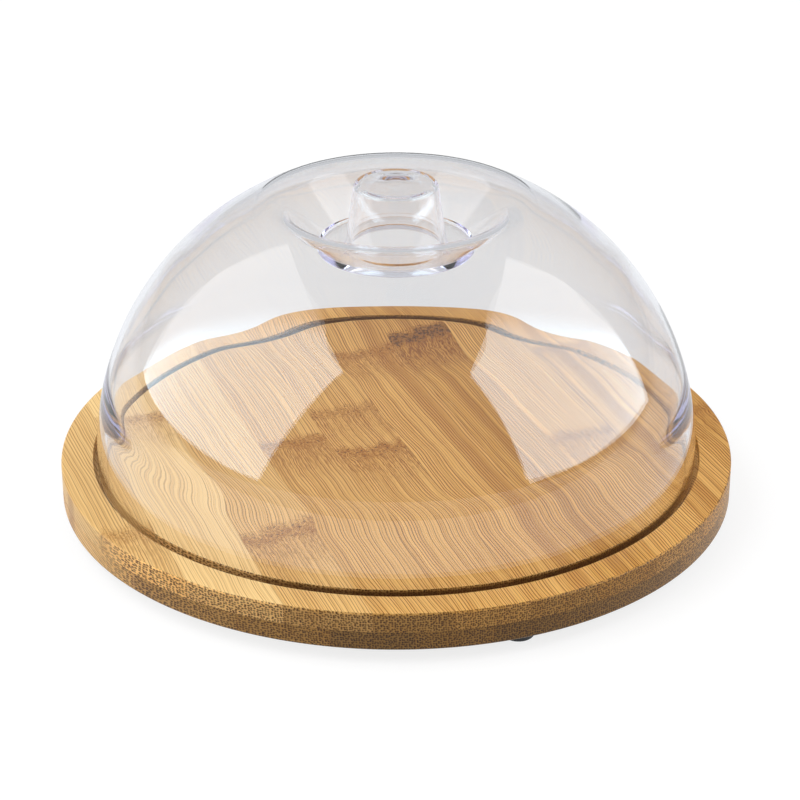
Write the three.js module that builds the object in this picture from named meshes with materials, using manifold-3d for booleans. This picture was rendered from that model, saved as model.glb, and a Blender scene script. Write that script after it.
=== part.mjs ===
// Covered serving tray: a round board of glued bamboo strips on rubber feet, with a clear lift-off dome.
// Millimetres. Z is up, Y runs along the grain, and the origin lies under the centre on the table.

import * as THREE from 'three';
import { mergeVertices } from 'three/addons/utils/BufferGeometryUtils.js';
import Module from 'manifold-3d';

// Dome cover
const domeDiameter = 268; // outside, level with the board's top face
const domeRise = 130; // half height of the ellipse that the side follows
const domeWall = 2.2;
const bandWall = 3.4; // of the stiffer band at the dome's foot
const bandHeight = 24; // up to here above the board the band has its full wall
const bandBlend = 16; // over this further height it thins into the side
const ridgeDiameter = 111.2; // circle along the top of the crown ridge
const ridgeRounding = 12;
const recessDepth = 20.3; // from the top of the ridge to the floor round the knob
const floorDiameter = 62; // of that floor, at the foot of the slope inside the ridge

// Knob, hollow from below and moulded in one with the dome
const knobBaseDiameter = 44;
const knobTopDiameter = 36;
const knobHeight = 28.2; // above the recess floor
const knobRounding = 2;
const dimpleDiameter = 18; // round hollow in the top of the knob
const dimpleDepth = 0.6;

// Board
const rimLand = 14.1; // flat ring outside the groove
const plyThickness = 8.4;
const stripWidth = 31.3;
const jointOffset = 3; // from the centre to the nearest glue joint of the upper ply
const narrowestStrip = 4; // an end strip is never cut narrower than this
const edgeRounding = 0.8;
const grooveDepth = 4.5;

// Feet
const footNames = ['front', 'right', 'back', 'left'];
const footTurn = THREE.MathUtils.degToRad(1.5); // of the front foot from the grain's line
const footInset = 14; // from the board's edge to the middle of a foot
const footHeight = 6.5;
const footDiameter = 15; // against the board
const footprintDiameter = 13.4; // on the table
const footRounding = 0.8;

// Foot screws
const screwHeadDiameter = 6;
const screwHeadHeight = 2;
const screwHeadRounding = 0.9;
const screwShankDiameter = 3;
const screwBite = 6; // length inside the board
const screwTip = 2.4; // length of the point
const driveWidth = 0.9; // arms of the cross recess
const driveSpan = 3.2;
const driveDepth = 1.1;

// Clearances
const rimPlayOutside = 1.9; // from the dome's rim to the outer wall of its groove
const rimPlayInside = 0.7; // and to the inner wall
const shankClearance = 0.15; // round a screw's shank in its foot and in the board
const headClearance = 0.5; // round a screw's head in its foot
const headSink = 1; // from the table up to a screw's head
const pilotSpare = 0.5; // beyond a screw's point
const cutOverrun = 2; // how far a cutting shape runs past what it cuts

// Facets
const domeFacets = 72;
const boardFacets = 96;
const footFacets = 24;
const screwFacets = 16;
const sideSteps = 13; // along the dome's side
const domeArcSteps = 2; // half the steps in each rounded stretch
const smallArcSteps = 1;

// Places that follow from the sizes
const domeRadius = domeDiameter / 2;
const rimRadius = domeRadius - bandWall; // inside
const grooveInner = rimRadius - rimPlayInside;
const grooveOuter = domeRadius + rimPlayOutside;
const boardRadius = grooveOuter + rimLand;
const boardThickness = 2 * plyThickness;
const footCircle = boardRadius - footInset;
const screwSeat = headSink + screwHeadHeight;
const shankHole = screwShankDiameter / 2 + shankClearance;

// Finishes
const upperBamboo = new THREE.MeshStandardMaterial({ color: 0xd7a661, roughness: 0.5, metalness: 0 });
const lowerBamboo = new THREE.MeshStandardMaterial({ color: 0xc7944f, roughness: 0.5, metalness: 0 });
const clearPlastic = new THREE.MeshStandardMaterial({
  color: 0xe8e8f0,
  roughness: 0.08,
  metalness: 0,
  transparent: true,
  opacity: 0.3,
  side: THREE.DoubleSide,
});
const darkRubber = new THREE.MeshStandardMaterial({ color: 0x1d1a19, roughness: 0.85, metalness: 0 });
const plainSteel = new THREE.MeshStandardMaterial({ color: 0xb4b6b8, roughness: 0.35, metalness: 1 });

const wasm = await Module();
wasm.setup();

// Closed solid from a geometry: shared corners joined, and facets without area at a lathe's axis left out.
function toSolid(geometry) {
  geometry.deleteAttribute('normal');
  geometry.deleteAttribute('uv');
  const joined = mergeVertices(geometry);
  const corners = joined.index.array;
  const triangles = [];
  for (let first = 0; first < corners.length; first += 3) {
    const triangle = corners.slice(first, first + 3);
    if (new Set(triangle).size === 3) {
      triangles.push(...triangle);
    }
  }
  const surface = new wasm.Mesh({
    numProp: 3,
    vertProperties: joined.attributes.position.array,
    triVerts: new Uint32Array(triangles),
  });
  return new wasm.Manifold(surface);
}

function toMesh(name, solid, material) {
  const surface = solid.getMesh();
  const geometry = new THREE.BufferGeometry();
  geometry.setAttribute('position', new THREE.BufferAttribute(surface.vertProperties, 3));
  geometry.setIndex(new THREE.BufferAttribute(surface.triVerts, 1));
  geometry.computeVertexNormals();
  const mesh = new THREE.Mesh(geometry, material);
  mesh.name = name;
  return mesh;
}

// Solid of revolution about Z. Profile x is the radius and y the height, with material on the left of its run.
function turned(profile, arcSteps, facets) {
  const geometry = new THREE.LatheGeometry(profile.getPoints(arcSteps), facets);
  return toSolid(geometry.rotateX(Math.PI / 2));
}

// Upright prism of an outline, from height bottom to height top.
function prism(outline, bottom, top) {
  const geometry = new THREE.ExtrudeGeometry(outline, { depth: top - bottom, bevelEnabled: false });
  return toSolid(geometry.translate(0, 0, bottom));
}

function rectangle(left, front, right, back) {
  const outline = new THREE.Shape();
  outline.moveTo(left, front);
  outline.lineTo(right, front);
  outline.lineTo(right, back);
  outline.lineTo(left, back);
  outline.closePath();
  return outline;
}

// Lower ply: a plain disc with its bottom edge eased.
function lowerPlyProfile() {
  const profile = new THREE.Path();
  profile.moveTo(0, 0);
  profile.lineTo(boardRadius - edgeRounding, 0);
  profile.absarc(boardRadius - edgeRounding, edgeRounding, edgeRounding, -Math.PI / 2, 0, false);
  profile.lineTo(boardRadius, plyThickness);
  profile.lineTo(0, plyThickness);
  return profile;
}

// Upper ply: a disc with its top edge eased and the dome's groove turned into its face.
function upperPlyProfile() {
  const easedHeight = boardThickness - edgeRounding;
  const profile = new THREE.Path();
  profile.moveTo(0, plyThickness);
  profile.lineTo(boardRadius, plyThickness);
  profile.lineTo(boardRadius, easedHeight);
  profile.absarc(boardRadius - edgeRounding, easedHeight, edgeRounding, 0, Math.PI / 2, false);
  profile.lineTo(grooveOuter, boardThickness);
  profile.lineTo(grooveOuter, boardThickness - grooveDepth);
  profile.lineTo(grooveInner, boardThickness - grooveDepth);
  profile.lineTo(grooveInner, boardThickness);
  profile.lineTo(0, boardThickness);
  return profile;
}

// Glue joints across a ply, left to right, with the board's two edges at the ends.
function jointLines(offset) {
  const reach = boardRadius - narrowestStrip;
  const joints = [-boardRadius];
  const first = Math.ceil((-reach - offset) / stripWidth);
  const last = Math.floor((reach - offset) / stripWidth);
  for (let count = first; count <= last; count += 1) {
    joints.push(offset + count * stripWidth);
  }
  joints.push(boardRadius);
  return joints;
}

// One ply sawn into its strips along the glue joints.
function makeStrips(prefix, blank, offset, material) {
  const group = new THREE.Group();
  const joints = jointLines(offset);
  const reach = boardRadius + cutOverrun;
  for (let strip = 1; strip < joints.length; strip += 1) {
    const outline = rectangle(joints[strip - 1], -reach, joints[strip], reach);
    const saw = prism(outline, -cutOverrun, boardThickness + cutOverrun);
    group.add(toMesh(`${prefix}_strip_${strip}`, blank.intersect(saw), material));
  }
  return group;
}

// Middle of a foot. The feet are counted from the front, the -Y side, counter-clockwise from above.
function footPlace(index) {
  const angle = footTurn - Math.PI / 2 + (index / footNames.length) * 2 * Math.PI;
  return new THREE.Vector3(footCircle * Math.cos(angle), footCircle * Math.sin(angle), 0);
}

// Blind hole in the board's underside for a foot screw.
function pilotHole(place) {
  const profile = new THREE.Path();
  profile.moveTo(0, -cutOverrun);
  profile.lineTo(shankHole, -cutOverrun);
  profile.lineTo(shankHole, screwBite + pilotSpare);
  profile.lineTo(0, screwBite + pilotSpare);
  return turned(profile, smallArcSteps, screwFacets).translate(place.x, place.y, 0);
}

function makeBoard() {
  const board = new THREE.Group();
  board.position.z = footHeight;
  let lowerBlank = turned(lowerPlyProfile(), smallArcSteps, boardFacets);
  for (const index of footNames.keys()) {
    lowerBlank = lowerBlank.subtract(pilotHole(footPlace(index)));
  }
  const upperBlank = turned(upperPlyProfile(), smallArcSteps, boardFacets);
  board.add(makeStrips('bottom', lowerBlank, jointOffset + stripWidth / 2, lowerBamboo));
  board.add(makeStrips('top', upperBlank, jointOffset, upperBamboo));
  return board;
}

// Tapered rubber foot with a stepped hole that sinks the screw's head.
function footProfile() {
  const headHole = screwHeadDiameter / 2 + headClearance;
  const roundingCentre = footprintDiameter / 2 - footRounding;
  const profile = new THREE.Path();
  profile.moveTo(shankHole, screwSeat);
  profile.lineTo(headHole, screwSeat);
  profile.lineTo(headHole, 0);
  profile.lineTo(roundingCentre, 0);
  profile.absarc(roundingCentre, footRounding, footRounding, -Math.PI / 2, 0, false);
  profile.lineTo(footDiameter / 2, footHeight);
  profile.lineTo(shankHole, footHeight);
  profile.lineTo(shankHole, screwSeat);
  return profile;
}

// Pan-head screw standing on its head, which is the end towards the table.
function screwProfile() {
  const headRadius = screwHeadDiameter / 2;
  const shankRadius = screwShankDiameter / 2;
  const tip = footHeight + screwBite;
  const profile = new THREE.Path();
  profile.moveTo(0, headSink);
  profile.lineTo(headRadius - screwHeadRounding, headSink);
  profile.absarc(
    headRadius - screwHeadRounding,
    headSink + screwHeadRounding,
    screwHeadRounding,
    -Math.PI / 2,
    0,
    false,
  );
  profile.lineTo(headRadius, screwSeat);
  profile.lineTo(shankRadius, screwSeat);
  profile.lineTo(shankRadius, tip - screwTip);
  profile.lineTo(0, tip);
  return profile;
}

function crossRecess() {
  const halfSpan = driveSpan / 2;
  const halfWidth = driveWidth / 2;
  const bottom = headSink - cutOverrun;
  const top = headSink + driveDepth;
  const alongX = prism(rectangle(-halfSpan, -halfWidth, halfSpan, halfWidth), bottom, top);
  const alongY = prism(rectangle(-halfWidth, -halfSpan, halfWidth, halfSpan), bottom, top);
  return alongX.add(alongY);
}

function makeFeet() {
  const feet = new THREE.Group();
  const foot = turned(footProfile(), smallArcSteps, footFacets);
  const screw = turned(screwProfile(), smallArcSteps, screwFacets).subtract(crossRecess());
  for (const [index, name] of footNames.entries()) {
    const footing = new THREE.Group();
    footing.position.copy(footPlace(index));
    footing.add(toMesh(`foot_${name}`, foot, darkRubber));
    footing.add(toMesh(`foot_screw_${name}`, screw, plainSteel));
    feet.add(footing);
  }
  return feet;
}

// Point on the dome's side. Angle 0 is level with the board, and the inset is square to the surface.
function sidePoint(angle, inset) {
  const surface = new THREE.Vector2(domeRadius * Math.cos(angle), domeRise * Math.sin(angle));
  const outward = new THREE.Vector2(Math.cos(angle) / domeRadius, Math.sin(angle) / domeRise).normalize();
  return surface.addScaledVector(outward, -inset);
}

// Point on the inside of the dome's side, which is thicker in the band at its foot.
function insidePoint(angle) {
  const height = domeRise * Math.sin(angle);
  const thinned = THREE.MathUtils.smoothstep(height, bandHeight, bandHeight + bandBlend);
  return sidePoint(angle, THREE.MathUtils.lerp(bandWall, domeWall, thinned));
}

// Angle on the dome's side where the ridge's rounding leaves it, found by halving.
function ridgeStart() {
  let low = 0;
  let high = Math.PI / 2;
  while (high - low > 1e-9) {
    const middle = (low + high) / 2;
    if (sidePoint(middle, ridgeRounding).x > ridgeDiameter / 2) {
      low = middle;
    } else {
      high = middle;
    }
  }
  return low;
}

// Section of the dome, from the knob's hollow down the inside to the rim and back up the outside.
function domeProfile() {
  const startAngle = ridgeStart();
  const ridgeCentre = sidePoint(startAngle, ridgeRounding);
  const ridgeOuterEnd = sidePoint(startAngle, 0).sub(ridgeCentre).angle();
  const recessFloor = ridgeCentre.y + ridgeRounding - recessDepth;
  const recessUnderside = recessFloor - domeWall;
  const toFloorEdge = new THREE.Vector2(floorDiameter / 2, recessFloor).sub(ridgeCentre);
  const ridgeInnerEnd = toFloorEdge.angle() - Math.acos(ridgeRounding / toFloorEdge.length());
  const slopeNormal = new THREE.Vector2(Math.cos(ridgeInnerEnd), Math.sin(ridgeInnerEnd));
  const underSlope = ridgeCentre.clone().addScaledVector(slopeNormal, ridgeRounding - domeWall);
  const slopeRun = ((recessUnderside - underSlope.y) * slopeNormal.y) / slopeNormal.x;

  const knobTop = recessFloor + knobHeight;
  const draft = Math.atan2(knobBaseDiameter - knobTopDiameter, 2 * knobHeight);
  const knobRadius = (height) => knobTopDiameter / 2 + (knobTop - height) * Math.tan(draft);
  const hollowRadius = (height) => knobRadius(height) - domeWall / Math.cos(draft);
  const roundingHeight = knobTop - knobRounding;
  const roundingCentre = knobRadius(roundingHeight) - knobRounding / Math.cos(draft);
  const dimpleFloor = knobTop - dimpleDepth;

  const profile = new THREE.Path();
  profile.moveTo(0, knobTop - domeWall);
  profile.lineTo(hollowRadius(knobTop - domeWall), knobTop - domeWall);
  profile.lineTo(hollowRadius(recessUnderside), recessUnderside);
  profile.lineTo(underSlope.x - slopeRun, recessUnderside);
  profile.absarc(ridgeCentre.x, ridgeCentre.y, ridgeRounding - domeWall, ridgeInnerEnd, ridgeOuterEnd, true);
  for (let step = sideSteps - 1; step >= 0; step -= 1) {
    const point = insidePoint((step / sideSteps) * startAngle);
    profile.lineTo(point.x, point.y);
  }
  profile.lineTo(rimRadius, -grooveDepth);
  profile.lineTo(domeRadius, -grooveDepth);
  for (let step = 0; step < sideSteps; step += 1) {
    const point = sidePoint((step / sideSteps) * startAngle, 0);
    profile.lineTo(point.x, point.y);
  }
  profile.absarc(ridgeCentre.x, ridgeCentre.y, ridgeRounding, ridgeOuterEnd, ridgeInnerEnd, false);
  profile.lineTo(floorDiameter / 2, recessFloor);
  profile.lineTo(knobBaseDiameter / 2, recessFloor);
  profile.absarc(roundingCentre, roundingHeight, knobRounding, draft, Math.PI / 2, false);
  profile.lineTo(dimpleDiameter / 2, knobTop);
  profile.lineTo(dimpleDiameter / 2 - dimpleDepth, dimpleFloor);
  profile.lineTo(0, dimpleFloor);
  return profile;
}

function makeCover() {
  const cover = new THREE.Group();
  cover.position.z = footHeight + boardThickness;
  cover.add(toMesh('dome_cover', turned(domeProfile(), domeArcSteps, domeFacets), clearPlastic));
  return cover;
}

const tray = new THREE.Group();
tray.add(makeBoard());
tray.add(makeFeet());
tray.add(makeCover());

export default tray;
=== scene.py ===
import math

import bmesh
import bpy
from mathutils import Matrix, Vector, noise


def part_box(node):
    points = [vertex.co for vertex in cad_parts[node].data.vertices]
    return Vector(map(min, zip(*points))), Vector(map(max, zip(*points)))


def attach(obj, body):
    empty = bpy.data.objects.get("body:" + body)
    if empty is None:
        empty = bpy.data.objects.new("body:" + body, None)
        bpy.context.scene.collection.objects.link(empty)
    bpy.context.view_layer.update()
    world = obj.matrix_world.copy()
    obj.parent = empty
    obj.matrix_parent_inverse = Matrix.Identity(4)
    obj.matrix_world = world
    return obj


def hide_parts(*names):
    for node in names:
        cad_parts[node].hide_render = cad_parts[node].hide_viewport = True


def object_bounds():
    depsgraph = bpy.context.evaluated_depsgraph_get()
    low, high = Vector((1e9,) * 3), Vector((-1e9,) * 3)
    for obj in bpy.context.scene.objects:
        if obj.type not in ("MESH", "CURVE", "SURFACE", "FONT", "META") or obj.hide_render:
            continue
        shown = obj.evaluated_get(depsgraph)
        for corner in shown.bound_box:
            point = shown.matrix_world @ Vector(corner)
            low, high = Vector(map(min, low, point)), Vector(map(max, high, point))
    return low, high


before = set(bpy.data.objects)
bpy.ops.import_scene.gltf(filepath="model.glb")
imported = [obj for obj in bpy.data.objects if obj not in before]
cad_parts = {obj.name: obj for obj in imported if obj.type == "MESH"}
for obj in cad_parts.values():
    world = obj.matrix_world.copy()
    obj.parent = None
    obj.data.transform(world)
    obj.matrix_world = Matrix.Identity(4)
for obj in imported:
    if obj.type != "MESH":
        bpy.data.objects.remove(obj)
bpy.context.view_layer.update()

mm = 0.001
tiny = 1e-9


# Mesh makers

def arc(centre, radius, start, end, steps):
    turns = (start + (end - start) * step / steps for step in range(steps + 1))
    return [
        (centre[0] + radius * math.cos(turn), centre[1] + radius * math.sin(turn))
        for turn in turns
    ]


def roundCorner(before, corner, after, radius, steps=5):
    here = Vector(corner)
    back = (Vector(before) - here).normalized()
    ahead = (Vector(after) - here).normalized()
    half = back.angle(ahead) / 2
    reach = radius / math.tan(half)
    centre = here + (back + ahead).normalized() * radius / math.sin(half)
    first = here + back * reach - centre
    turn = first.angle_signed(here + ahead * reach - centre)
    points = []
    for step in range(steps + 1):
        spoke = first.copy()
        spoke.rotate(Matrix.Rotation(-turn * step / steps, 2))
        points.append(tuple(centre + spoke))
    return points


def outline(corners):  # corners are (radius, height) or (radius, height, rounding)
    points = []
    for index, corner in enumerate(corners):
        if len(corner) == 3:
            before, after = corners[index - 1][:2], corners[index + 1][:2]
            points += roundCorner(before, corner[:2], after, corner[2])
        else:
            points.append(corner)
    return points


def spin(profile, segments, discs=False):  # turns a section in millimetres about the upright axis
    bm = bmesh.new()
    rings = []
    for radius, height in profile:
        count = 1 if radius < tiny else segments
        turns = (2 * math.pi * index / segments for index in range(count))
        rings.append([
            bm.verts.new((radius * mm * math.cos(turn), radius * mm * math.sin(turn), height * mm))
            for turn in turns
        ])
    for lower, upper in zip(rings, rings[1:]):
        if discs and len(lower) != len(upper):
            continue
        for index in range(segments):
            following = (index + 1) % segments
            corners = [
                lower[index % len(lower)], lower[following % len(lower)],
                upper[following % len(upper)], upper[index % len(upper)],
            ]
            bm.faces.new(dict.fromkeys(corners))
    if discs:  # flat ends as one face each, with no spokes
        for middle, ring in ((rings[0], rings[1]), (rings[-1], rings[-2])):
            bm.verts.remove(middle[0])
            bm.faces.new(ring)
    bmesh.ops.recalc_face_normals(bm, faces=bm.faces)
    return bm


def finishPiece(name, bm, material, crease=32):  # edges sharper than the crease stay sharp
    for face in bm.faces:
        face.smooth = True
    for edge in bm.edges:
        edge.smooth = edge.calc_face_angle(0) < math.radians(crease)
    mesh = bpy.data.meshes.new(name)
    bm.to_mesh(mesh)
    bm.free()
    mesh.materials.append(material)
    piece = bpy.data.objects.new(name, mesh)
    bpy.context.scene.collection.objects.link(piece)
    return piece


def standIn(piece, node, body):
    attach(piece, body)
    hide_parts(node)


# Shader maths

class Wire:  # a socket that can be added, multiplied and so on
    def __init__(self, finish, socket):
        self.finish = finish
        self.socket = socket

    def __getitem__(self, name):  # another output of the same node
        return Wire(self.finish, self.socket.node.outputs[name])

    def combine(self, operation, first, second=0.0):
        return self.finish.add("ShaderNodeMath", {"operation": operation}, {0: first, 1: second})

    def __add__(self, other):
        return self.combine("ADD", self, other)

    def __sub__(self, other):
        return self.combine("SUBTRACT", self, other)

    def __rsub__(self, other):
        return self.combine("SUBTRACT", other, self)

    def __mul__(self, other):
        return self.combine("MULTIPLY", self, other)

    def __truediv__(self, other):
        return self.combine("DIVIDE", self, other)

    def __rtruediv__(self, other):
        return self.combine("DIVIDE", other, self)

    def __abs__(self):
        return self.combine("ABSOLUTE", self)

    __radd__ = __add__
    __rmul__ = __mul__

    def step(self, low, high):  # 0 below low, 1 above high, smooth between
        ends = {"Value": self, "From Min": low, "From Max": high}
        return self.finish.add("ShaderNodeMapRange", {"interpolation_type": "SMOOTHSTEP"}, ends)

    def spread(self, low, high):  # 0 to 1 stretched to low to high
        return self * (high - low) + low


class Finish:  # one node tree, of a material or the world
    def __init__(self, tree):
        self.tree = tree
        tree.nodes.clear()

    def add(self, kind, settings=None, sockets=None, out=None):
        node = self.tree.nodes.new(kind)
        for key, value in (settings or {}).items():
            setattr(node, key, value)
        for key, value in (sockets or {}).items():
            socket = node.inputs[key] if isinstance(key, int) else self.openSocket(node.inputs, key)
            if isinstance(value, Wire):
                self.tree.links.new(value.socket, socket)
            elif isinstance(value, tuple) and socket.type == "RGBA":
                socket.default_value = (*value, 1)
            else:
                socket.default_value = value
        if out:
            return Wire(self, node.outputs[out])
        if node.outputs:
            return Wire(self, next(socket for socket in node.outputs if socket.enabled))
        return node

    @staticmethod
    def openSocket(sockets, name):  # several sockets can share a name, and one of them is in use
        return next(socket for socket in sockets if socket.name == name and socket.enabled)

    def blend(self, factor, first, second, how="MIX"):
        settings = {"data_type": "RGBA", "blend_type": how}
        return self.add("ShaderNodeMix", settings, {"Factor": factor, "A": first, "B": second})

    def vector(self, x, y, z):
        return self.add("ShaderNodeCombineXYZ", {}, {"X": x, "Y": y, "Z": z})

    def place(self):  # object coordinates in millimetres
        position = self.add("ShaderNodeTexCoord", out="Object")
        sockets = {0: position, "Scale": 1 / mm}
        scaled = self.add("ShaderNodeVectorMath", {"operation": "SCALE"}, sockets)
        parts = self.add("ShaderNodeSeparateXYZ", {}, {0: scaled})
        return parts["X"], parts["Y"], parts["Z"]

    def noise(self, vector, scale=1.0, detail=2.0, rough=0.5):
        sockets = {"Vector": vector, "Scale": scale, "Detail": detail, "Roughness": rough}
        return self.add("ShaderNodeTexNoise", {}, sockets)

    def bump(self, height, distance, strength):
        sockets = {"Height": height, "Distance": distance, "Strength": strength}
        return self.add("ShaderNodeBump", {}, sockets)

    def surface(self, sockets):
        shader = self.add("ShaderNodeBsdfPrincipled", {}, sockets)
        self.add("ShaderNodeOutputMaterial", {}, {"Surface": shader})


def newFinish(name):
    material = bpy.data.materials.new(name)
    material.use_nodes = True
    return material, Finish(material.node_tree)


# Camera

view = {
    "place": (1.67, -975, 500),  # right, away and up from the middle of the board's top face
    "turn": -20,  # the grain runs this many degrees off the line of sight
    "tilt": 26.17,  # down from level
    "lens": 109.3,
}

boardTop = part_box("top_strip_5")[1].z / mm
turnMatrix = Matrix.Rotation(math.radians(view["turn"]), 4, "Z")


def studioPoint(right, away, up):  # millimetres seen from the camera's side to a point in the frame
    return turnMatrix @ Vector((right, away, up + boardTop)) * mm


def makeCamera():
    data = bpy.data.cameras.new("camera")
    data.lens = view["lens"]
    camera = bpy.data.objects.new("camera", data)
    camera.location = studioPoint(*view["place"])
    camera.rotation_euler = (math.radians(90 - view["tilt"]), 0, math.radians(view["turn"]))
    bpy.context.scene.collection.objects.link(camera)
    bpy.context.scene.camera = camera


makeCamera()
print("camera set")


# Clear dome

dome = {
    "segments": 288,
    "sideSteps": 56,
    "crease": 40,
    "rise": 130,  # half height of the ellipse that the side follows
    "wall": 2.2,
    "bandWall": 3.4,  # the stiffer band at the foot
    "bandHeight": 24,
    "bandBlend": 16,
    "crownSwell": 0.24,  # the wall is fuller under the crown, between these heights
    "crownFrom": 82,
    "crownFull": 94,
    "crownTo": 106,
    "ridgeRadius": 55.6,
    "ridgeRounding": 12,
    "ridgeSteps": 24,
    "recessDepth": 20.3,
    "floorRadius": 32,  # of the floor round the knob
    "stepHeight": 1.6,  # upright step from that floor to the slope
    "stepFillets": (0.275, 0.44),  # at the foot and the top of the step
    "underFillets": (0.44, 0.22),  # the same step seen from inside the dome
    "knobBase": 22,
    "knobTop": 18,
    "knobHeight": 28.2,
    "knobRounding": 2.2,
    "hollowFillet": 1.65,  # round the mouth of the knob's hollow
    "dimpleRadius": 9,
    "dimpleFlat": 3,
    "dimpleDepth": 0.4,
    "dimpleSteps": 8,
    "fillet": 1.1,  # in the other corners of the mould
    "rimRounding": 0.7,
    "wave": 0.17,  # uneven inside wall
    "waveLength": 38,
    "waveInner": 60,  # no waves nearer the axis than this
    "waveFade": (0.12, 0.75),  # shares of the side's height, with full waves between them
    "ior": 1.49,
    "haze": (0.002, 0.007),  # roughness from clean to smudged
    "smudgeScale": 0.018,
    "smudgeEdge": (0.5, 0.72),
    "rippleScale": 0.05,
    "rippleHeight": 0.00002,
    "rippleStrength": 0.35,
    "shadowTint": (0.98, 0.98, 0.985),  # what the lamps' light keeps on its way in
    "tint": (0.72, 0.66, 0.97),  # what a thick stretch lets through
    "tintDensity": 10.0,
}


def smooth(value, low, high):  # 0 below low, 1 above high
    share = min(1, max(0, (value - low) / (high - low)))
    return share * share * (3 - 2 * share)


def sideWall(height):  # thickness of the dome's side, by height over the board
    wall, bandWall = dome["wall"], dome["bandWall"]
    thinned = smooth(height, dome["bandHeight"], dome["bandHeight"] + dome["bandBlend"])
    fuller = smooth(height, dome["crownFrom"], dome["crownFull"])
    fuller *= 1 - smooth(height, dome["crownFull"], dome["crownTo"])
    return bandWall + (wall - bandWall) * thinned + dome["crownSwell"] * fuller


def domeSection():
    low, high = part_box("dome_cover")
    radius = high.x / mm
    rim = low.z / mm - boardTop
    wall, rise, rounding = dome["wall"], dome["rise"], dome["ridgeRounding"]

    def sidePoint(angle, inset):
        outward = Vector((math.cos(angle) / radius, math.sin(angle) / rise)).normalized()
        return Vector((radius * math.cos(angle), rise * math.sin(angle))) - outward * inset

    start, top = 0.0, math.pi / 2  # closes in on where the ridge's rounding leaves the side
    while top - start > tiny:
        middle = (start + top) / 2
        if sidePoint(middle, rounding).x > dome["ridgeRadius"]:
            start = middle
        else:
            top = middle
    ridge = sidePoint(start, rounding)
    floor = ridge.y + rounding - dome["recessDepth"]
    leave = sidePoint(start, 0) - ridge
    ridgeOut = math.atan2(leave.y, leave.x)
    stepTop = floor + dome["stepHeight"]
    toStep = Vector((dome["floorRadius"], stepTop)) - ridge  # the slope inside the ridge ends here
    ridgeIn = math.atan2(toStep.y, toStep.x) - math.acos(rounding / toStep.length)
    ridgeIn %= 2 * math.pi
    under = floor - wall
    slopeTop = ridge + (rounding - wall) * Vector((math.cos(ridgeIn), math.sin(ridgeIn)))
    underRadius = dome["floorRadius"] + wall
    underStep = slopeTop.y - (underRadius - slopeTop.x) / math.tan(ridgeIn)

    knobTop = floor + dome["knobHeight"]
    draft = math.atan2(dome["knobBase"] - dome["knobTop"], dome["knobHeight"])

    def hollow(height):
        return dome["knobTop"] + (knobTop - height) * math.tan(draft) - wall / math.cos(draft)

    angles = [start * step / dome["sideSteps"] for step in range(dome["sideSteps"])]
    flat, dishSteps, depth = dome["dimpleFlat"], dome["dimpleSteps"], dome["dimpleDepth"]
    dishWidth = dome["dimpleRadius"] - flat
    dish = [flat + dishWidth * step / dishSteps for step in range(dishSteps + 1)]
    fillet, rimRounding = dome["fillet"], dome["rimRounding"]
    stepFoot, stepEdge = dome["stepFillets"]
    underFoot, underEdge = dome["underFillets"]
    outside = [
        (0, knobTop - depth),
        *[(r, knobTop - depth * (1 - smooth(r, dish[0], dish[-1]))) for r in dish],
        (dome["knobTop"], knobTop, dome["knobRounding"]),
        (dome["knobBase"], floor, fillet),
        (dome["floorRadius"], floor, stepFoot),
        (dome["floorRadius"], stepTop, stepEdge),
        *arc(ridge, rounding, ridgeIn, ridgeOut, dome["ridgeSteps"]),
        *[tuple(sidePoint(angle, 0)) for angle in reversed(angles)],
        (radius, rim, rimRounding),
    ]
    inside = [
        (radius - dome["bandWall"], rim, rimRounding),
        *[tuple(sidePoint(angle, sideWall(rise * math.sin(angle)))) for angle in angles],
        *arc(ridge, rounding - wall, ridgeOut, ridgeIn, dome["ridgeSteps"]),
        (underRadius, underStep, underEdge),
        (underRadius, under, underFoot),
        (hollow(under), under, dome["hollowFillet"]),
        (hollow(knobTop - wall), knobTop - wall, fillet),
        (0, knobTop - wall),
    ]
    points = outline(outside + inside)
    return [(r, z + boardTop) for r, z in points], ridge.y + boardTop


def plasticFinish():
    material, finish = newFinish("clear_plastic")
    spot = finish.vector(*finish.place())
    smudge = finish.noise(spot, dome["smudgeScale"], detail=4.0, rough=0.6)
    ripple = finish.noise(spot, dome["rippleScale"], detail=1.0)
    glass = finish.add("ShaderNodeBsdfPrincipled", {}, {
        "Base Color": (1, 1, 1),
        "Roughness": smudge.step(*dome["smudgeEdge"]).spread(*dome["haze"]),
        "IOR": dome["ior"],
        "Transmission Weight": 1.0,
        "Normal": finish.bump(ripple, dome["rippleHeight"], dome["rippleStrength"]),
    })
    through = finish.add("ShaderNodeBsdfTransparent", {}, {"Color": dome["shadowTint"]})
    lampRay = finish.add("ShaderNodeLightPath", out="Is Shadow Ray")
    shader = finish.add("ShaderNodeMixShader", {}, {0: lampRay, 1: glass, 2: through})
    absorbed = {"Color": dome["tint"], "Density": dome["tintDensity"]}
    tint = finish.add("ShaderNodeVolumeAbsorption", {}, absorbed)
    finish.add("ShaderNodeOutputMaterial", {}, {"Surface": shader, "Volume": tint})
    return material


def makeDome():
    profile, ridgeHeight = domeSection()
    bm = spin(profile, dome["segments"])
    low = boardTop * mm
    high = ridgeHeight * mm
    fadeIn, fadeOut = dome["waveFade"]
    for vert in bm.verts:  # the inside of the side wall is a little uneven, as moulded walls are
        share = (vert.co.z - low) / (high - low)
        inner = vert.normal.xy.dot(vert.co.xy) < 0
        if 0 < share < 1 and inner and vert.co.xy.length > dome["waveInner"] * mm:
            swell = noise.noise(vert.co / (dome["waveLength"] * mm)) * dome["wave"] * mm
            fade = smooth(share, 0, fadeIn) * (1 - smooth(share, fadeOut, 1))
            vert.co += vert.normal * swell * fade
    piece = finishPiece("clear_dome", bm, plasticFinish(), dome["crease"])
    standIn(piece, "dome_cover", "cover")


makeDome()
print("dome made")


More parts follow.
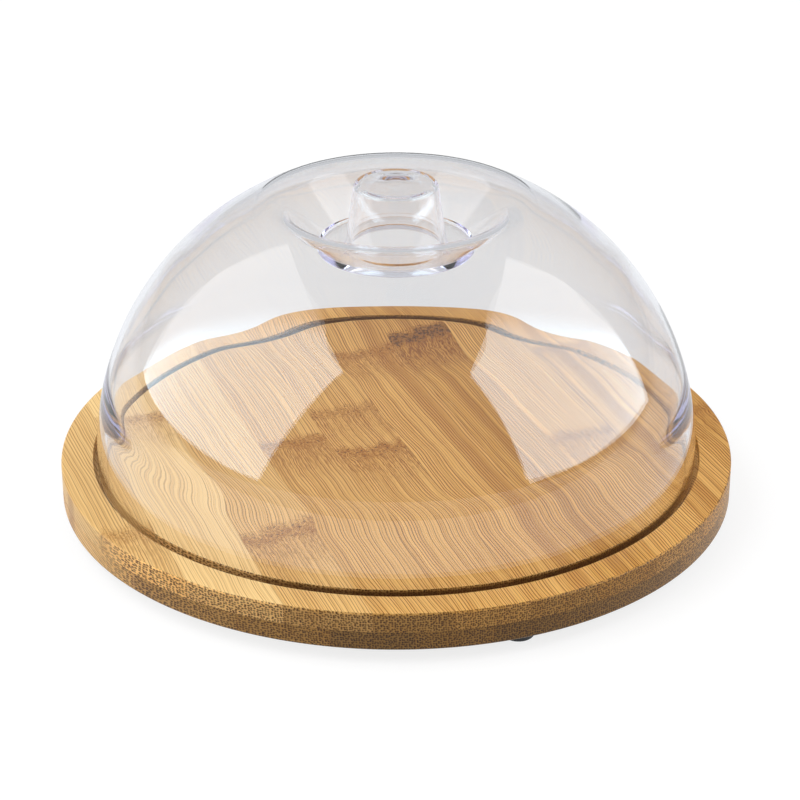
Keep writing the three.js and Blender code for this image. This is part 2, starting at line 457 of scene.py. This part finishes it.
# Bamboo board

board = {
    "segments": 360,
    "edgeRounding": 1.0,
    "grooveInner": 129.9,
    "grooveOuter": 135.9,
    "grooveDepth": 4.5,
    "grooveRounding": 0.35,
    "floorRounding": 0.6,
    "uncutEdge": 0.01,  # a strip's side this near the board's rim needs no cut
}

bamboo = {
    "pale": (0.86, 0.49, 0.136),
    "gold": (0.7, 0.346, 0.073),
    "blond": (0.93, 0.66, 0.3),
    "toffee": (0.46, 0.187, 0.025),
    "fibre": (0.2, 0.05, 0.003),
    "knuckle": (0.3, 0.098, 0.01),
    "hole": (0.075, 0.024, 0.006),
    "endGrain": (0.58, 0.285, 0.066),
    "endDot": (0.072, 0.022, 0.003),
    "turned": (0.085, 0.03, 0.009),  # painted shade inside the groove

    # how the fibres wander: scales across, along and through, and millimetres across and through
    "seedAlong": 173.0,  # shifts that make each strip differ
    "seedThrough": 31.7,
    "sway": (0.012, 0.011, 0.02),
    "swayReach": (6.0, 3.0),
    "ripple": (0.09, 0.035, 0.09),
    "rippleReach": (0.9, 0.5),
    "swirl": (0.3, 0.2, 0.3),
    "swirlReach": (3.0, 1.3),  # in a knuckle and in front of it
    "swirlThrough": 0.6,
    "lean": 0.008,  # fibres against the face

    # layers and streaks: scales across and along
    "sheet": 1.3,  # between the lines of a face
    "fineSheet": 0.85,
    "sheetSlant": 0.8,
    "sheetJitter": 0.45,
    "fade": (0.5, 0.03),
    "streak": (0.9, 0.01),
    "broad": (0.15, 0.006),
    "hair": (4.0, 0.03),

    # face: an edge is where a mask starts and is full, a dark value is how much it colours
    "strawStreak": 0.6,
    "strawHair": 0.8,
    "strawEdge": (0.5, 0.9),
    "broadEdge": (0.48, 0.7),
    "broadDark": 0.24,
    "broadBlond": 0.2,  # the blond values take some of that away on a pale strip
    "flareDark": 0.2,
    "streakCore": 0.4,
    "streakDark": 0.5,
    "lineWidth": (0.07, 0.21),
    "lineShare": 0.7,
    "lineEdge": (0.05, 0.8),
    "lineDark": 1.0,
    "lineBlond": 0.65,
    "thinWidth": (0.1, 0.3),
    "thinShares": (0.8, 0.5, 0.4),  # of chance, fading and nearness of a knuckle
    "thinEdge": (0.4, 1.1),
    "thinDark": 0.7,
    "thinBlond": 0.3,

    # knuckles: millimetres along the grain, from the middle of the band
    "ragged": 18.0,
    "raggedScale": (0.1, 0.05),
    "raggedShift": 7.0,
    "bandWidth": (2.0, 9.0),
    "flareStart": (-44.0, -6.0),
    "flareEnd": (0.0, 5.0),
    "bandDark": 0.35,
    "fleck": (0.9, 0.7, 0.7),
    "fleckStir": (2.4, 1.8),
    "fleckEdge": (0.49, 0.55),
    "fleckDark": 0.6,
    "dash": (1.3, 0.2),
    "dashEdge": (0.52, 0.62),
    "dashDark": 0.5,
    "pit": 0.4,
    "pitWidth": (0.12, 0.24),
    "pitChance": (0.45, 0.75),
    "pitDark": 0.8,
    "heavyEdge": (1.0, 2.2),  # a knuckle stronger than 1 turns nearly black
    "heavyDark": (0.3, 0.7),

    # cut ends
    "endCell": 1.0,  # between the dots
    "endJitter": 0.6,
    "dotWidth": (0.3, 0.5),
    "dotDark": (0.65, 1.0),
    "endBlond": 0.5,
    "endBroadEdge": (0.35, 0.7),
    "endBroadDark": 0.25,
    "endFacing": (0.16, 0.42),  # how squarely a surface cuts the grain

    # painted shade in the groove, glue and polish
    "sunkDepth": (0.3, 1.5),
    "sunkWidth": (3.05, 3.3),
    "turnedFacing": (0.45, 0.9),
    "turnedDark": (0.15, 0.75),
    "glueWidth": 0.2,
    "glueDark": 0.4,
    "rough": (0.36, 0.52),
    "roughShares": (0.6, 0.4),  # of streaks and lines
    "relief": 0.00006,
    "reliefStrength": 0.5,
    "specular": 0.25,
    "coat": 0.05,
    "coatRough": 0.22,
}

# tone and paleness of the face, tone of the end grain, and knuckles: place along the grain and strength.
# The paleness is partly painted light, highest on the strips at the left, towards the stronger lamp. The
# end grain's tone is partly painted light and shade, higher on the outer strips and lower on the middle
# ones and on the lower ply
upperStrips = [
    (0.95, 0.65, 1.50, ((-41, 0.5),)),
    (1.05, 0.90, 1.28, ((61, 0.8),)),
    (1.00, 0.50, 0.97, ((-63, 1.0),)),
    (0.98, 0.25, 0.80, ((15, 1.0),)),
    (0.99, 0.20, 1.00, ((-4, 1.1), (38, 0.7))),
    (1.00, 0.15, 0.85, ((98, 0.9),)),
    (0.92, 0.00, 0.90, ((104, 2.2),)),
    (1.00, 0.15, 1.02, ((-23, 0.95),)),
    (1.00, 0.10, 1.20, ((72, 0.7),)),
    (0.94, 0.00, 1.50, ((-15, 0.8),)),
]
# the lower ply's end grain tones are lower still, as painted shade
lowerStrips = [
    (1.00, 0.40, 1.12, ((20, 0.8),)),
    (0.97, 0.30, 0.85, ((-50, 0.8),)),
    (1.02, 0.20, 0.78, ((75, 0.8),)),
    (0.96, 0.20, 0.53, ((-20, 0.8),)),
    (1.00, 0.10, 0.62, ((110, 0.8),)),
    (0.98, 0.10, 0.49, ((-95, 0.8),)),
    (1.01, 0.10, 0.54, ((35, 0.8),)),
    (0.97, 0.10, 0.56, ((-70, 0.8),)),
    (1.00, 0.10, 0.78, ((60, 0.8),)),
    (1.02, 0.10, 0.95, ((-10, 0.8),)),
    (0.99, 0.10, 1.10, ((15, 0.8),)),
]
darkStreaks = {6: (28, 6.5), 7: (47, 4), 9: (108, 5)}  # in the upper ply: place across and half width


def knuckleMasks(finish, x, y, knuckles):  # the bands across a strip, and the crowded fibres beside them
    band, flare = 0.0, 0.0
    wide, far = bamboo["raggedScale"]
    for index, (spot, strength) in enumerate(knuckles):
        place = finish.vector(x * wide, y * far, bamboo["raggedShift"] * index + spot)
        ragged = finish.noise(place, detail=3.0, rough=0.6) - 0.5
        past = y - spot + ragged * bamboo["ragged"]
        crowd = past.step(*bamboo["flareStart"]) * (1 - past.step(*bamboo["flareEnd"]))
        band = band + (1 - abs(past).step(*bamboo["bandWidth"])) * strength
        flare = flare + crowd * strength
    return band, flare


def bambooFinish(name, seed, strip, left, right, darkStreak):
    tone, blond, endTone, knuckles = strip
    material, finish = newFinish(name)
    x, y, z = finish.place()
    along = y + bamboo["seedAlong"] * seed
    band, flare = knuckleMasks(finish, x, y, knuckles)

    def wander(scale, detail=2.0, rough=0.5):  # noise about zero
        place = finish.vector(x * scale[0], along * scale[1], z * scale[2])
        return finish.noise(place, detail=detail, rough=rough) - 0.5

    # the fibres wander gently, and swirl at a knuckle
    sway, ripple = wander(bamboo["sway"]), wander(bamboo["ripple"])
    swirl = wander(bamboo["swirl"], 3.0, 0.6)
    swayAcross, swayThrough = bamboo["swayReach"]
    rippleAcross, rippleThrough = bamboo["rippleReach"]
    bandSwirl, flareSwirl = bamboo["swirlReach"]
    stir = swirl * (band * bandSwirl + flare * flareSwirl)
    across = x + sway * swayAcross + ripple * rippleAcross + stir
    depth = z + y * bamboo["lean"] + sway * swayThrough + ripple * rippleThrough
    depth = depth + stir * bamboo["swirlThrough"] + bamboo["seedThrough"] * seed

    def nearest(kind, sockets):  # distance from the nearest cell's middle, and a chance value for each cell
        settings = {"voronoi_dimensions": kind}
        distance = finish.add("ShaderNodeTexVoronoi", settings, {"Scale": 1.0, **sockets}, "Distance")
        return distance, finish.add("ShaderNodeSeparateColor", {}, {0: distance["Color"]}, "Red")

    def sheets(cell):  # layers of fibres, lines along the grain on a face
        place = (across + depth * bamboo["sheetSlant"]) / cell
        return nearest("1D", {"W": place, "Randomness": bamboo["sheetJitter"]})

    def grain(density, stretch):  # noise drawn out along the fibres
        place = finish.vector(across * density, along * stretch, depth * density)
        return finish.noise(place, rough=0.6)

    sheet, chance = sheets(bamboo["sheet"])
    fine, fineChance = sheets(bamboo["fineSheet"])
    fade = grain(*bamboo["fade"])
    streak = grain(*bamboo["streak"])
    broad = grain(*bamboo["broad"])
    hair = grain(*bamboo["hair"])

    # straw colours of the face
    pale = (streak * bamboo["strawStreak"] + hair * bamboo["strawHair"]).step(*bamboo["strawEdge"])
    straw = finish.blend(pale, bamboo["gold"], bamboo["pale"])
    straw = finish.blend(blond, straw, bamboo["blond"])
    brown = broad.step(*bamboo["broadEdge"]) * (bamboo["broadDark"] - blond * bamboo["broadBlond"])
    straw = finish.blend(brown + flare * bamboo["flareDark"], straw, bamboo["toffee"])
    if darkStreak:
        centre, half = darkStreak
        beside = abs(across - centre).step(half * bamboo["streakCore"], half)
        straw = finish.blend((1 - beside) * bamboo["streakDark"], straw, bamboo["toffee"])

    # lines along the grain
    lineChance = ((chance + fade) * bamboo["lineShare"]).step(*bamboo["lineEdge"])
    line = (1 - sheet.step(*bamboo["lineWidth"])) * lineChance
    byChance, byFade, byFlare = bamboo["thinShares"]
    thinChance = (fineChance * byChance + fade * byFade + flare * byFlare).step(*bamboo["thinEdge"])
    thin = (1 - fine.step(*bamboo["thinWidth"])) * thinChance
    thinDark = bamboo["thinDark"] - blond * bamboo["thinBlond"]
    lineDark = bamboo["lineDark"] - blond * bamboo["lineBlond"]
    face = finish.blend(thin * thinDark, straw, bamboo["toffee"])
    face = finish.blend(line * lineDark, face, bamboo["fibre"])

    # knuckles
    fleckX, fleckY, fleckZ = bamboo["fleck"]
    stirX, stirY = bamboo["fleckStir"]
    fleckPlace = finish.vector(x * fleckX + swirl * stirX, along * fleckY + swirl * stirY, z * fleckZ)
    fleck = finish.noise(fleckPlace, rough=0.6).step(*bamboo["fleckEdge"])
    dashX, dashY = bamboo["dash"]
    dashPlace = finish.vector(across * dashX, along * dashY, z)
    dash = finish.noise(dashPlace, detail=1.0).step(*bamboo["dashEdge"])
    pitPlace = finish.vector(x * bamboo["pit"], along * bamboo["pit"], 0.0)
    pit, pitChance = nearest("2D", {"Vector": pitPlace})
    hole = (1 - pit.step(*bamboo["pitWidth"])) * pitChance.step(*bamboo["pitChance"])
    mottle = band * fleck
    heavy = band.step(*bamboo["heavyEdge"]) * fleck.spread(*bamboo["heavyDark"])
    face = finish.blend(flare * dash * bamboo["dashDark"], face, bamboo["knuckle"])
    face = finish.blend(band * bamboo["bandDark"], face, bamboo["toffee"])
    face = finish.blend(mottle * bamboo["fleckDark"], face, bamboo["knuckle"])
    face = finish.blend(band * hole * bamboo["pitDark"], face, bamboo["hole"])
    face = finish.blend(heavy, face, bamboo["hole"])
    face = finish.blend(1.0, face, (tone, tone, tone), "MULTIPLY")

    # cut ends
    cell = bamboo["endCell"]
    endPlace = finish.vector(across / cell, depth / cell, 0.0)
    speckle, speckleChance = nearest("2D", {"Vector": endPlace, "Randomness": bamboo["endJitter"]})
    dot = (1 - speckle.step(*bamboo["dotWidth"])) * speckleChance.spread(*bamboo["dotDark"])
    endBrown = broad.step(*bamboo["endBroadEdge"]) * bamboo["endBroadDark"]
    end = finish.blend(blond * bamboo["endBlond"], bamboo["endGrain"], bamboo["blond"])
    end = finish.blend(endBrown, end, bamboo["toffee"])
    end = finish.blend(dot, end, bamboo["endDot"])
    end = finish.blend(1.0, end, (endTone, endTone, endTone), "MULTIPLY")
    normal = finish.add("ShaderNodeNewGeometry", out="Normal")
    facing = abs(finish.add("ShaderNodeSeparateXYZ", {}, {0: normal})["Y"])
    colour = finish.blend(facing.step(*bamboo["endFacing"]), face, end)

    # painted shade in the groove, darkest where the wall cuts across the grain
    level = {0: finish.vector(x, y, 0.0)}
    radius = finish.add("ShaderNodeVectorMath", {"operation": "LENGTH"}, level, "Value")
    grooveMiddle = (board["grooveInner"] + board["grooveOuter"]) / 2
    inGroove = 1 - abs(radius - grooveMiddle).step(*bamboo["sunkWidth"])
    sunk = (boardTop - z).step(*bamboo["sunkDepth"]) * inGroove
    turned = facing.step(*bamboo["turnedFacing"]).spread(*bamboo["turnedDark"])
    colour = finish.blend(sunk * turned, colour, bamboo["turned"])

    # thin glue lines along the strip's two sides
    glue = 1 - (x - left).step(0.0, bamboo["glueWidth"]) * (right - x).step(0.0, bamboo["glueWidth"])
    colour = finish.blend(glue * bamboo["glueDark"], colour, bamboo["fibre"])

    streakRough, lineRough = bamboo["roughShares"]
    finish.surface({
        "Base Color": colour,
        "Roughness": (streak * streakRough + line * lineRough).spread(*bamboo["rough"]),
        "Normal": finish.bump(streak - line - mottle, bamboo["relief"], bamboo["reliefStrength"]),
        "Specular IOR Level": bamboo["specular"],
        "Coat Weight": bamboo["coat"],
        "Coat Roughness": bamboo["coatRough"],
    })
    return material


def cutStrip(ply, left, right, edge):  # keeps what lies between two joints, and closes the cuts
    bm = ply.copy()
    for x, normal, outer in ((left, -1, -edge), (right, 1, edge)):
        if abs(x - outer) < board["uncutEdge"]:
            continue
        everything = bm.verts[:] + bm.edges[:] + bm.faces[:]
        cut = bmesh.ops.bisect_plane(
            bm, geom=everything, plane_co=(x * mm, 0, 0), plane_no=(normal, 0, 0), clear_outer=True,
        )
        seam = [item for item in cut["geom_cut"] if isinstance(item, bmesh.types.BMEdge)]
        bmesh.ops.edgenet_fill(bm, edges=seam)
    bmesh.ops.recalc_face_normals(bm, faces=bm.faces)
    return bm


def makePly(prefix, node, section, strips, seed, streaks):
    ply = spin(section, board["segments"], discs=True)
    edge = max(radius for radius, height in section)
    for index, strip in enumerate(strips, 1):
        low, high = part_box(f"{node}_strip_{index}")
        left, right = low.x / mm, high.x / mm
        name = f"{prefix}_slat_{index}"
        material = bambooFinish(name, seed + index, strip, left, right, streaks.get(index))
        piece = finishPiece(name, cutStrip(ply, left, right, edge), material)
        standIn(piece, f"{node}_strip_{index}", "board")
    ply.free()


def makeBoard():
    low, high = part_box("bottom_strip_6")
    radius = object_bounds()[1].x / mm
    bottom, joint = low.z / mm, high.z / mm
    groove = boardTop - board["grooveDepth"]
    lower = outline([
        (0, bottom),
        (radius, bottom, board["edgeRounding"]),
        (radius, joint),
        (0, joint),
    ])
    upper = outline([
        (0, joint),
        (radius, joint),
        (radius, boardTop, board["edgeRounding"]),
        (board["grooveOuter"], boardTop, board["grooveRounding"]),
        (board["grooveOuter"], groove, board["floorRounding"]),
        (board["grooveInner"], groove, board["floorRounding"]),
        (board["grooveInner"], boardTop, board["grooveRounding"]),
        (0, boardTop),
    ])
    makePly("lower", "bottom", lower, lowerStrips, seed=20, streaks={})
    makePly("upper", "top", upper, upperStrips, seed=0, streaks=darkStreaks)


makeBoard()
print("board made")


# Rubber feet and their screws

foot = {
    "segments": 64,
    "topRadius": 7.5,
    "printRadius": 6.7,
    "rounding": 0.9,
    "holeRadius": 3.5,
    "holeDepth": 3,
    "holeRounding": 0.3,
    "shankHole": 1.65,
    "weld": 1e-7,  # joins the first and last ring of the section
    "rubber": (0.013, 0.012, 0.012),
    "scuffed": (0.04, 0.037, 0.035),
    "scuffScale": 0.6,
    "scuffEdge": (0.45, 0.75),
    "scuffShare": 0.5,
    "gritScale": 5.0,
    "gritHeight": 0.00005,
    "gritStrength": 0.6,
    "rough": (0.55, 0.8),
}
screw = {
    "segments": 48,
    "headRadius": 3,
    "headSink": 1,
    "headHeight": 2,
    "rounding": 0.9,
    "seatRounding": 0.2,
    "shankRadius": 1.5,
    "tip": 2.4,
    "driveWidth": 0.9,
    "driveSpan": 3.2,
    "driveDepth": 1.1,
    "steel": (0.48, 0.48, 0.49),
    "bright": (0.66, 0.66, 0.66),
    "markScale": (3.0, 3.0, 14.0),  # marks left by turning
    "markHeight": 0.00002,
    "markStrength": 0.4,
    "rough": (0.22, 0.4),
}


def rubberFinish():
    material, finish = newFinish("dark_rubber")
    spot = finish.vector(*finish.place())
    grit = finish.noise(spot, foot["gritScale"], detail=3.0, rough=0.6)
    scuff = finish.noise(spot, foot["scuffScale"], detail=3.0, rough=0.6).step(*foot["scuffEdge"])
    finish.surface({
        "Base Color": finish.blend(scuff * foot["scuffShare"], foot["rubber"], foot["scuffed"]),
        "Roughness": ((grit + scuff) / 2).spread(*foot["rough"]),
        "Normal": finish.bump(grit, foot["gritHeight"], foot["gritStrength"]),
    })
    return material


def steelFinish():
    material, finish = newFinish("plain_steel")
    spot = [axis * scale for axis, scale in zip(finish.place(), screw["markScale"])]
    mark = finish.noise(finish.vector(*spot), detail=3.0, rough=0.6)
    finish.surface({
        "Base Color": finish.blend(mark, screw["steel"], screw["bright"]),
        "Metallic": 1.0,
        "Roughness": mark.spread(*screw["rough"]),
        "Normal": finish.bump(mark, screw["markHeight"], screw["markStrength"]),
    })
    return material


def footSection(height):
    return outline([
        (foot["shankHole"], height),
        (foot["shankHole"], foot["holeDepth"]),
        (foot["holeRadius"], foot["holeDepth"], foot["holeRounding"]),
        (foot["holeRadius"], 0, foot["holeRounding"]),
        (foot["printRadius"], 0, foot["rounding"]),
        (foot["topRadius"], height),
        (foot["shankHole"], height),
    ])


def screwSection(tip):
    seat = screw["headSink"] + screw["headHeight"]
    return outline([
        (0, screw["headSink"]),
        (screw["headRadius"], screw["headSink"], screw["rounding"]),
        (screw["headRadius"], seat, screw["seatRounding"]),
        (screw["shankRadius"], seat),
        (screw["shankRadius"], tip - screw["tip"]),
        (0, tip),
    ])


def crossCutter():  # a plus-shaped prism, for the driver's recess in the head
    half, span = screw["driveWidth"] / 2, screw["driveSpan"] / 2
    plus = [
        (span, -half), (span, half), (half, half), (half, span), (-half, span), (-half, half),
        (-span, half), (-span, -half), (-half, -half), (-half, -span), (half, -span), (half, -half),
    ]
    bm = bmesh.new()
    face = bm.faces.new([bm.verts.new((x * mm, y * mm, 0)) for x, y in plus])
    depth = screw["headSink"] + screw["driveDepth"]
    raised = bmesh.ops.extrude_face_region(bm, geom=[face])["geom"]
    tops = [item for item in raised if isinstance(item, bmesh.types.BMVert)]
    bmesh.ops.translate(bm, verts=tops, vec=(0, 0, depth * mm))
    bmesh.ops.recalc_face_normals(bm, faces=bm.faces)
    return bm


def makeFeet():
    rubber, steel = rubberFinish(), steelFinish()
    cutter = finishPiece("cross_cutter", crossCutter(), steel)
    for side in ("front", "right", "back", "left"):
        low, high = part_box(f"foot_{side}")
        middle = (low + high) / 2
        place = Matrix.Translation((middle.x, middle.y, 0))
        pad = spin(footSection(high.z / mm), foot["segments"])
        bmesh.ops.remove_doubles(pad, verts=pad.verts, dist=foot["weld"])
        bmesh.ops.recalc_face_normals(pad, faces=pad.faces)
        padPiece = finishPiece(f"rubber_foot_{side}", pad, rubber)
        padPiece.data.transform(place)
        standIn(padPiece, f"foot_{side}", "board")

        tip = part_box(f"foot_screw_{side}")[1].z / mm
        shape = spin(screwSection(tip), screw["segments"])
        screwPiece = finishPiece(f"steel_screw_{side}", shape, steel)
        cross = screwPiece.modifiers.new("cross", "BOOLEAN")
        cross.object = cutter
        bpy.context.view_layer.update()
        graph = bpy.context.evaluated_depsgraph_get()
        carved = bpy.data.meshes.new_from_object(screwPiece.evaluated_get(graph))
        screwPiece.modifiers.clear()
        screwPiece.data = carved
        carved.transform(place)
        standIn(screwPiece, f"foot_screw_{side}", "board")
    bpy.data.objects.remove(cutter)


makeFeet()
print("feet made")


# Floor, world and lamps

studio = {
    "floorSize": 12,
    "floorColour": (0.24, 0.24, 0.24),
    "floorGrain": 0.4,
    "floorRough": (0.55, 0.65),
    "floorSpecular": 0.1,
    "floorGlow": 0.8,  # makes up the white that the camera sees
    "floorReach": (0.6, 3.0),  # metres over which the glow takes over, as the lamps fall off
    "ambient": 0.15,
    "throughDome": 0.77,  # the white sweep is a little off white where the dome shows it
    "throughTint": (0.975, 1.0, 1.01),
    "mirroredFloor": (1.35, 0.84),  # in front and behind
    "mirroredTurn": (-0.25, 0.05),  # metres towards the back over which one becomes the other
    "mirrorTint": (0.97, 1.0, 1.03),
    "mirroredRoom": 0.4,  # the room in front, dimmer than the sweep behind
    "mirroredSweep": 0.6,
    "sweepEdge": (-0.05, 0.4),
    "softboxDistance": 1400,
    "softboxTilt": 30,
    # corners front low, back low, back high, front high: away and up, as shares of the distance
    "leftBox": ((-0.88, -0.40), (0.62, -0.50), (0.62, 0.55), (-0.78, 0.80)),
    "rightBox": ((-0.95, -0.40), (0.44, -0.56), (0.46, 0.54), (-0.66, 0.60)),
    "leftShine": 3.9,
    "rightShine": 4.5,
    "softboxTint": (0.78, 0.97, 1.1),
    "dimCorner": 0.38,  # share of the shine that is left towards the high back corner
    "dimSlant": 1.08,
    "dimEdge": (0.68, 0.9),
    "leftPower": 28,
    "rightPower": 15,
    "topPower": 5,
    "topPlace": (0, 300, 1700),
    "topSize": (1.6, 1.6),
    "bounces": 32,  # light runs a long way inside the dome's wall
}


def rayKinds(finish):
    path = finish.add("ShaderNodeLightPath", out="Is Camera Ray")
    direct = 1 - path["Diffuse Depth"].step(0.0, 1.0)  # 0 for rays that light a matt surface
    mirrored = path["Glossy Depth"].step(0.0, 1.0) * direct
    through = path["Is Transmission Ray"] * (1 - mirrored) * direct
    return path, through, mirrored


def wayBack(finish, position):  # how far a point or direction lies towards the back of the studio
    sockets = {0: position, 1: tuple(turnMatrix @ Vector((0, 1, 0)))}
    return finish.add("ShaderNodeVectorMath", {"operation": "DOT_PRODUCT"}, sockets, "Value")


def sweepColour(finish, through, mirrored):
    colour = finish.blend(mirrored, (1, 1, 1), studio["mirrorTint"])
    return finish.blend(through, colour, studio["throughTint"])


def makeFloor():
    half = studio["floorSize"] / 2
    square = ((-1, -1), (1, -1), (1, 1), (-1, 1))
    bm = bmesh.new()
    bm.faces.new([bm.verts.new((x * half, y * half, 0)) for x, y in square])
    material, finish = newFinish("pale_floor")
    grain = finish.noise(finish.vector(*finish.place()), studio["floorGrain"], detail=3.0)
    matt = finish.add("ShaderNodeBsdfPrincipled", {}, {
        "Base Color": studio["floorColour"],
        "Roughness": grain.spread(*studio["floorRough"]),
        "Specular IOR Level": studio["floorSpecular"],
    })
    camera, through, mirrored = rayKinds(finish)
    lit = 1 - studio["floorGlow"]
    position = finish.add("ShaderNodeTexCoord", out="Object")
    reach = finish.add("ShaderNodeVectorMath", {"operation": "LENGTH"}, {0: position}, "Value")
    white = reach.step(*studio["floorReach"]).spread(studio["floorGlow"], 1.0)
    shine = wayBack(finish, position).step(*studio["mirroredTurn"]).spread(*studio["mirroredFloor"])
    strength = camera * white + through * (studio["throughDome"] - lit) + mirrored * (shine - lit)
    sockets = {"Color": sweepColour(finish, through, mirrored), "Strength": strength}
    glow = finish.add("ShaderNodeEmission", {}, sockets)
    shader = finish.add("ShaderNodeAddShader", {}, {0: matt, 1: glow})
    finish.add("ShaderNodeOutputMaterial", {}, {"Surface": shader})
    material.cycles.emission_sampling = "NONE"
    floor = finishPiece("floor", bm, material)


def makeWorld():
    world = bpy.data.worlds.new("studio")
    bpy.context.scene.world = world
    world.use_nodes = True
    finish = Finish(world.node_tree)
    camera, through, mirrored = rayKinds(finish)
    behind = wayBack(finish, finish.add("ShaderNodeTexCoord", out="Generated"))
    ends = studio["mirroredRoom"], studio["mirroredSweep"]
    backdrop = behind.step(*studio["sweepEdge"]).spread(*ends)
    seen = camera + through * studio["throughDome"] + mirrored * backdrop
    strength = seen + (1 - (camera + through + mirrored).step(0.0, 1.0)) * studio["ambient"]
    sockets = {"Color": sweepColour(finish, through, mirrored), "Strength": strength}
    back = finish.add("ShaderNodeBackground", {}, sockets)
    finish.add("ShaderNodeOutputWorld", {}, {"Surface": back})


def softbox(name, side, corners, brightness, power):  # a panel for the mirror images, a lamp for the light
    distance = studio["softboxDistance"]
    tilt = math.radians(studio["softboxTilt"])

    def place(away, rise):
        right = side * distance * (math.cos(tilt) - rise * math.sin(tilt))
        up = distance * (math.sin(tilt) + rise * math.cos(tilt))
        return studioPoint(right, away * distance, up)

    bm = bmesh.new()
    bm.faces.new([bm.verts.new(place(*corner)) for corner in corners])
    material, finish = newFinish(f"{name}_cloth")
    camera, through, mirrored = rayKinds(finish)
    position = finish.add("ShaderNodeTexCoord", out="Object")
    away = wayBack(finish, position)
    height = finish.add("ShaderNodeSeparateXYZ", {}, {0: position})["Z"]
    highBack = (away * studio["dimSlant"] + height) / (distance * mm)
    dim = highBack.step(*studio["dimEdge"])
    shine = mirrored * brightness * (1 - dim * (1 - studio["dimCorner"]))
    colour = finish.blend(mirrored * (1 - dim), (1, 1, 1), studio["softboxTint"])
    sockets = {"Color": colour, "Strength": shine + through * studio["throughDome"]}
    glow = finish.add("ShaderNodeEmission", {}, sockets)
    finish.add("ShaderNodeOutputMaterial", {}, {"Surface": glow})
    material.cycles.emission_sampling = "NONE"
    panel = finishPiece(f"{name}_panel", bm, material)
    panel.visible_camera = False
    panel.visible_diffuse = False
    panel.visible_shadow = False

    spans = [[corner[axis] for corner in corners] for axis in (0, 1)]
    middle = [(min(span) + max(span)) / 2 for span in spans]
    size = [(max(span) - min(span)) * distance * mm for span in spans]
    addLamp(name, place(*middle), size, power)


def addLamp(name, place, size, power):
    data = bpy.data.lights.new(name, "AREA")
    data.shape = "RECTANGLE"
    data.size, data.size_y = size
    data.energy = power
    data.cycles.use_multiple_importance_sampling = False  # else its light is lost under the dome
    lamp = bpy.data.objects.new(name, data)
    lamp.location = place
    lamp.rotation_euler = (studioPoint(0, 0, 0) - place).to_track_quat("-Z", "Y").to_euler()
    lamp.visible_camera = False
    lamp.visible_glossy = False
    lamp.visible_transmission = False
    bpy.context.scene.collection.objects.link(lamp)


makeFloor()
makeWorld()
softbox("left_softbox", -1, studio["leftBox"], studio["leftShine"], studio["leftPower"])
softbox("right_softbox", 1, studio["rightBox"], studio["rightShine"], studio["rightPower"])
addLamp("overhead", studioPoint(*studio["topPlace"]), studio["topSize"], studio["topPower"])
scene = bpy.context.scene
scene.view_settings.view_transform = "Standard"
scene.cycles.max_bounces = studio["bounces"]
scene.cycles.glossy_bounces = studio["bounces"]
scene.cycles.transmission_bounces = studio["bounces"]
print("studio set")
